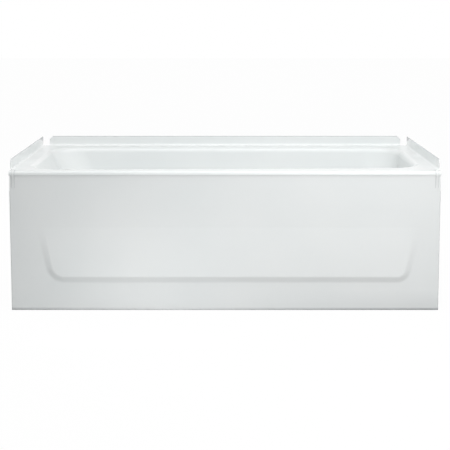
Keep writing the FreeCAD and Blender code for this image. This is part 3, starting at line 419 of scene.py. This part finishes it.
def painted_shade_at_foot(nodes, links):
    """Painted shade along the turned hem, deeper towards its ends, and a little above it at
    right.
    """
    spot = parts_of(nodes, links, on_piece(nodes))
    hem = spread(nodes, links, spot["Z"], low=0.0, high=1.0, start=hem_top, end=hem_full)
    offset = sums(nodes, links, "ADD", spot["X"], -least_shaded_x)
    away = sums(nodes, links, "ABSOLUTE", offset, 0.0)
    share = spread(nodes, links, away, low=least_share, high=most_share,
                   start=0.0, end=deepest_shade_away)
    above = spread(nodes, links, spot["Z"], low=0.0, high=above_share,
                   start=above_top, end=hem_full)
    right = spread(nodes, links, spot["X"], low=0.0, high=1.0,
                   start=right_starts, end=right_full)
    return sums(nodes, links, "MAXIMUM", sums(nodes, links, "MULTIPLY", hem, share),
                sums(nodes, links, "MULTIPLY", above, right))


# %% [markdown]
# ## The coats put together
# The shader gets the white or the ground coat, then the grey where the white is thin and
# where shade is painted. Broad noise makes the pools and finer noise the slight ripple of
# fired glass. A flat colour would look like paint. A light clear coat on top gives the sharp
# gleam, and the ground coat is made the duller of the two.

# %% The two coats
cover_whites = ((0.3, (0.834, 0.860, 0.860)), (0.7, (0.873, 0.890, 0.887)))
ground_greys = ((0.0, (0.018, 0.022, 0.032)), (0.75, (0.22, 0.23, 0.25)))
# This grey is thin white on cut edges, and painted shade on the upstand tips and at the foot of
# the apron.
thin_white_and_shade_grey = (0.27, 0.29, 0.3, 1)
speck_scale, speck_cut, drift_scale = 900.0, 0.66, 12.0
# A Mix node also has sockets for numbers and vectors. Its colours are at these places.
first_colour, second_colour, mixed_colour = 6, 7, 2


def cover_coat(nodes, links):
    """White that varies a little from one part of the tub to the next."""
    broad = noise(nodes, links, scale=2.4, detail=2.0)
    return colours(nodes, links, broad, *cover_whites)


def ground_coat(nodes, links):
    """Dark blue-grey with specks of white mist, paler in some places than in others."""
    fine = noise(nodes, links, scale=speck_scale, detail=1.0)
    specks = sums(nodes, links, "GREATER_THAN", fine, speck_cut)
    mist = sums(nodes, links, "MULTIPLY", specks, noise(nodes, links, scale=drift_scale))
    return colours(nodes, links, mist, *ground_greys)


def mixed(nodes, links, share, first, second):
    """The first colour where the share is nought, and the second where it is one."""
    mix = nodes.new("ShaderNodeMix")
    mix.data_type = "RGBA"
    links.new(share, mix.inputs[0])
    links.new(first, mix.inputs[first_colour])
    if isinstance(second, tuple):
        mix.inputs[second_colour].default_value = second
    else:
        links.new(second, mix.inputs[second_colour])
    return mix.outputs[mixed_colour]


# %% Fire the enamel
pool_scale, pool_height = 6.0, 0.0004
ripple_scale, ripple_height = 160.0, 0.00009
ground_dullness = 0.2


def enamel(name, dark_at, thin_and_shade_at):
    """Enamel with ground coat where dark_at is one, and grey for thin white and painted shade.
    """
    material, nodes, links, shader = new_material(name)
    dark = dark_at(nodes, links)
    coat = mixed(nodes, links, dark, cover_coat(nodes, links), ground_coat(nodes, links))
    colour = mixed(nodes, links, thin_and_shade_at(nodes, links), coat, thin_white_and_shade_grey)
    gloss = spread(nodes, links, noise(nodes, links, scale=pool_scale, detail=4.0),
                   low=0.18, high=0.27)
    duller = sums(nodes, links, "MULTIPLY", dark, ground_dullness)
    pools = raise_by(nodes, links, noise(nodes, links, scale=pool_scale, detail=1.0),
                     pool_height)
    ripple = raise_by(nodes, links, noise(nodes, links, scale=ripple_scale, detail=2.0),
                      ripple_height, under=pools)
    dress(links, shader, colour, sums(nodes, links, "ADD", gloss, duller), ripple)
    shader.inputs["Coat Weight"].default_value = 0.2
    shader.inputs["Coat Roughness"].default_value = 0.06
    return material


finish(enamel("tub_enamel", dark_under_basin, thin_edge_and_shaded_tips), "basin_shell")
finish(enamel("apron_enamel", dark_inside_apron, painted_shade_at_foot), "apron_panel")

# %% [markdown]
# ## Chrome
# Chrome plate covers what shows inside the basin: the drain flange, its strainer, the
# overflow plate with its screws, and the trip lever. A perfect mirror would look like a
# drawing, so the roughness varies in fine clouds, and noise drawn out along the depth of the
# tub stands for the marks that wiping leaves.

# %% Polished chrome
chrome_greys = ((0.3, (0.78, 0.79, 0.8)), (0.7, (0.86, 0.865, 0.87)))
along_depth = (1.0, 0.06, 1.0)
wipe_height = 0.00002

material, nodes, links, shader = new_material("chrome_plate")
shader.inputs["Metallic"].default_value = 1.0
dress(links, shader,
      colours(nodes, links, noise(nodes, links, scale=60.0), *chrome_greys),
      spread(nodes, links, noise(nodes, links, scale=90.0, detail=5.0), low=0.04, high=0.13),
      raise_by(nodes, links, noise(nodes, links, scale=500.0, stretch=along_depth), wipe_height))
finish(material, "drain_flange", "strainer_grid", "strainer_screw", "overflow_plate",
       "upper_plate_screw", "lower_plate_screw", "trip_lever")

# %% [markdown]
# ## Brass
# Outside the basin nothing is plated. The brass is pebbled by the sand where it is cast,
# streaked along its length where it is drawn, and ringed where it is turned, and it dulls to
# a brown in the damp. The three differ only in the marks, so one function makes them all,
# and the noise is drawn out along the upright pipes for the streaks and across them for the
# rings.

# %% Bare brass, cast, drawn and turned
brass_browns = ((0.3, (0.56, 0.4, 0.17)), (0.5, (0.66, 0.49, 0.22)), (0.72, (0.44, 0.28, 0.12)))
stain_range = 0.18
streaked, ringed = (1, 1, 0.03), (0.03, 0.03, 1)


def brass(name, scale, height, rough, stretch=(1, 1, 1)):
    """Dull brass whose surface marks have a scale, a height and a direction."""
    material, nodes, links, shader = new_material(name)
    shader.inputs["Metallic"].default_value = 1.0
    stain = noise(nodes, links, scale=28.0, detail=4.0)
    marks = noise(nodes, links, scale=scale, stretch=stretch)
    dress(links, shader, colours(nodes, links, stain, *brass_browns),
          spread(nodes, links, stain, low=rough, high=rough + stain_range),
          raise_by(nodes, links, marks, height))
    return material


finish(brass("cast_brass", scale=600.0, height=0.0004, rough=0.36),
       "drain_shoe", "waste_tee", "overflow_elbow")
finish(brass("drawn_brass", scale=900.0, height=0.00008, rough=0.22, stretch=streaked),
       "tailpiece", "overflow_tube", "upper_rod", "lower_rod")
finish(brass("turned_brass", scale=900.0, height=0.0001, rough=0.26, stretch=ringed),
       "branch_nut", "tee_top_nut", "tailpiece_nut", "elbow_nut", "adjusting_nut", "plunger",
       "yoke")

# %% [markdown]
# ## Rubber and steel wire
# Soft black washers seal the joints of the waste, and two pins of drawn wire carry the lever
# and what hangs on it. Both finishes are made like the others, from noise at the scale of
# the real surface: the dusty bloom of moulded rubber, and the draw marks of the wire.

# %% Black rubber
rubber_blacks = ((0.3, (0.018, 0.018, 0.02)), (0.75, (0.045, 0.045, 0.048)))
bloom_height = 0.00006

material, nodes, links, shader = new_material("black_rubber")
dress(links, shader,
      colours(nodes, links, noise(nodes, links, scale=220.0), *rubber_blacks),
      spread(nodes, links, noise(nodes, links, scale=80.0), low=0.55, high=0.75),
      raise_by(nodes, links, noise(nodes, links, scale=1400.0), bloom_height))
finish(material, "drain_gasket", "overflow_gasket", "branch_washer", "tee_top_washer",
       "tailpiece_washer", "elbow_washer")

# %% Steel wire for the pins
steel_greys = ((0.3, (0.42, 0.42, 0.43)), (0.7, (0.56, 0.56, 0.57)))
along_pin = (1, 0.05, 1)
draw_height = 0.00003

material, nodes, links, shader = new_material("steel_wire")
shader.inputs["Metallic"].default_value = 1.0
draw_marks = noise(nodes, links, scale=1500.0, detail=2.0, stretch=along_pin)
dress(links, shader,
      colours(nodes, links, noise(nodes, links, scale=150.0), *steel_greys),
      spread(nodes, links, noise(nodes, links, scale=300.0), low=0.2, high=0.36),
      raise_by(nodes, links, draw_marks, draw_height))
finish(material, "pivot_pin", "cotter_pin")

# %% [markdown]
# ## The strips at the front corners
# Where the upstand of each end stops, a narrow strip of the same steel runs on: forward over
# the rim, round its nose and down the face of the apron for some 60 mm. It ties the pieces
# together and closes the seam at the corner. A curve with a flat section could do it too.
# Here a small rectangle is drawn along the line, as a bar is bent by hand: straight stretches
# are extruded, and the nose is spun. One strip is modelled, and the other is a copy of it.

# %% Sizes of a corner strip
strip_width, strip_thick, strip_gap = 0.0105, 0.0014, 0.0002
strip_inset = 0.0145
strip_back_y = -0.345
nose_round, nose_steps = 0.012, 8
down_nose, down_slope, down_apron = 0.007, 0.006, 0.034
same_place = 0.00001
strip_x = basin_high.x - strip_inset
print("strips centred on", round(-strip_x, 4), "and", round(strip_x, 4))

# %% Start with a small rectangle that stands on the rim
bpy.ops.object.select_all(action="DESELECT")
bpy.ops.mesh.primitive_plane_add(size=1)
head_strip = bpy.context.object
head_strip.name = "head_corner_strip"
bpy.ops.object.mode_set(mode="EDIT")
bpy.ops.mesh.select_all(action="SELECT")
bpy.ops.transform.resize(value=(strip_width, strip_thick, 1), center_override=(0, 0, 0))
bpy.ops.transform.rotate(value=math.radians(90), orient_axis="X", center_override=(0, 0, 0))
bpy.ops.transform.translate(value=(-strip_x, strip_back_y, rim_z + strip_gap + strip_thick / 2))
print("rectangle of", strip_width, "by", strip_thick)


# %% Bend it over the nose and down the apron
def draw_on(move):
    """Extrude the end face that is selected."""
    bpy.ops.mesh.extrude_region_move(TRANSFORM_OT_translate={"value": move})


bend_y, bend_z = nose_y + nose_round, rim_z - nose_round
draw_on((0, bend_y - strip_back_y, 0))
bpy.ops.mesh.spin(steps=nose_steps, angle=math.radians(-90), axis=(1, 0, 0),
                  use_auto_merge=False, center=(-strip_x, bend_y, bend_z))
draw_on((0, 0, -down_nose))
draw_on((0, apron_y - nose_y, -down_slope))
draw_on((0, 0, -down_apron))
bpy.ops.mesh.select_all(action="SELECT")
bpy.ops.mesh.remove_doubles(threshold=same_place)
bpy.ops.mesh.normals_make_consistent(inside=False)
bpy.ops.mesh.select_all(action="DESELECT")
bpy.ops.object.mode_set(mode="OBJECT")
print("the strip ends at", round(min(point.co.z for point in head_strip.data.vertices), 4))

# %% Soften its edges and mark its two cut sides
strip_bevel, bevel_above, smooth_below = 0.0006, 50, 35
sideways = 0.5
soften = head_strip.modifiers.new("soft_edges", "BEVEL")
soften.width = strip_bevel
soften.segments = 1
soften.angle_limit = math.radians(bevel_above)
bpy.ops.object.modifier_apply(modifier=soften.name)
bpy.ops.object.shade_smooth_by_angle(angle=math.radians(smooth_below))
for face in head_strip.data.polygons:
    face.material_index = 1 if abs(face.normal.x) > sideways else 0
print("cut faces", sum(face.material_index for face in head_strip.data.polygons))

# %% Copy it to the drain end
bpy.ops.object.duplicate(linked=False)
drain_strip = bpy.context.object
drain_strip.name = "drain_corner_strip"
bpy.ops.object.mode_set(mode="EDIT")
bpy.ops.mesh.select_all(action="SELECT")
bpy.ops.transform.translate(value=(2 * strip_x, 0, 0))
bpy.ops.object.mode_set(mode="OBJECT")
print("strips", head_strip.name, "and", drain_strip.name)

# %% [markdown]
# ## Enamel on the strips
# A strip is enamelled like the rest, and its back is dark. Along its cut sides the white
# hardly holds, so they are nearly all grey, and most of all towards the top. The two could
# share one material with more sums, but a second material on the faces marked above is
# simpler.


# %% Enamel the strips
def dark_behind_strip(nodes, links):
    """One on the back of a strip, which faces a point far behind the tub."""
    far_behind = (0, 5, 0)
    return sums(nodes, links, "LESS_THAN", looks_away(nodes, links, far_behind), 0.0)


def thin_nowhere(nodes, links):
    """The face of a strip is covered, but for a trace towards the back."""
    spot = parts_of(nodes, links, on_piece(nodes))
    return spread(nodes, links, spot["Y"], low=0.0, high=0.01, start=-0.4, end=-0.3)


def thin_all_over(nodes, links):
    """The cut sides of a strip are nearly bare, most of all at the top."""
    spot = parts_of(nodes, links, on_piece(nodes))
    return spread(nodes, links, spot["Z"], low=0.7, high=0.9, start=0.42, end=0.5)


face_finish = enamel("strip_enamel", dark_behind_strip, thin_nowhere)
edge_finish = enamel("strip_edge_enamel", dark_behind_strip, thin_all_over)
for strip in (head_strip, drain_strip):
    strip.data.materials.append(face_finish)
    strip.data.materials.append(edge_finish)
    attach(strip, "tub")
    print(strip.name, "has", len(strip.data.polygons), "faces")

# %% [markdown]
# ## The foam pad
# A block of moulded polystyrene under the floor carries the bather's weight and deadens the
# sound. The measured model has a plain solid there, with sharp edges that a mould never
# leaves. A soft cushion would be blown up like cloth, but this block is stiff, so its faces
# stay flat. It starts as a cube, takes the solid's corners, so that its top follows the fall
# of the floor, and has its edges bevelled.

# %% Measure the solid under the floor
foam_inset = 0.0004
foam_edge, foam_edge_steps, foam_smooth_below = 0.006, 4, 40
near_end = 0.002
low, high = (Vector(corner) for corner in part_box("foam_pad"))
corners = [point.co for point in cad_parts["foam_pad"].data.vertices]


def top_at(x):
    """The height of the solid's top at one end."""
    return max(point.z for point in corners if abs(point.x - x) < near_end)


print("foam top", round(top_at(low.x), 4), "at the head and", round(top_at(high.x), 4),
      "at the drain end")

# %% Model the foam block
bpy.ops.object.select_all(action="DESELECT")
bpy.ops.mesh.primitive_cube_add(size=1)
pad = bpy.context.object
pad.name = "foam_block"
for point in pad.data.vertices:
    left, front, under = (value < 0 for value in point.co)
    x = low.x if left else high.x
    point.co.x = x + (foam_inset if left else -foam_inset)
    point.co.y = low.y + foam_inset if front else high.y - foam_inset
    point.co.z = low.z if under else top_at(x) - foam_inset
bpy.ops.object.mode_set(mode="EDIT")
bpy.ops.mesh.select_all(action="SELECT")
bpy.ops.mesh.bevel(offset=foam_edge, segments=foam_edge_steps, affect="EDGES")
bpy.ops.mesh.normals_make_consistent(inside=False)
bpy.ops.object.mode_set(mode="OBJECT")
bpy.ops.object.shade_smooth_by_angle(angle=math.radians(foam_smooth_below))
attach(pad, "tub")
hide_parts("foam_pad")
print("foam block has", len(pad.data.polygons), "faces")

# %% [markdown]
# ## Foam beads
# The foam is made of beads a few millimetres across, pressed together by steam, so its faces
# show a net of cell edges. Noise can't draw cells. A pattern of cells gives the distance
# from the nearest edge, and that number sinks the seams and darkens them with painted shade.
# A little light goes into the beads and comes out again, which makes them look soft.

# %% White foam beads
beads_per_metre = 240.0
seam_width, seam_depth = 0.22, 0.0003
# The darker stop is painted shade in the seams between the beads.
bead_white_and_seam_shade = ((0.0, (0.74, 0.74, 0.72)), (0.5, (0.92, 0.92, 0.9)))

material, nodes, links, shader = new_material("foam_beads")
cells = nodes.new("ShaderNodeTexVoronoi")
cells.feature = "DISTANCE_TO_EDGE"
cells.inputs["Scale"].default_value = beads_per_metre
links.new(on_piece(nodes), cells.inputs["Vector"])
seam = spread(nodes, links, cells.outputs["Distance"], low=0.0, high=1.0,
              start=0.0, end=seam_width)
dress(links, shader,
      colours(nodes, links, seam, *bead_white_and_seam_shade),
      spread(nodes, links, noise(nodes, links, scale=90.0), low=0.6, high=0.8),
      raise_by(nodes, links, seam, seam_depth))
shader.inputs["Subsurface Weight"].default_value = 0.1
shader.inputs["Subsurface Radius"].default_value = (0.004, 0.004, 0.004)
pad.data.materials.append(material)
print("foam beads across", round(1000 / beads_per_metre, 1), "mm")
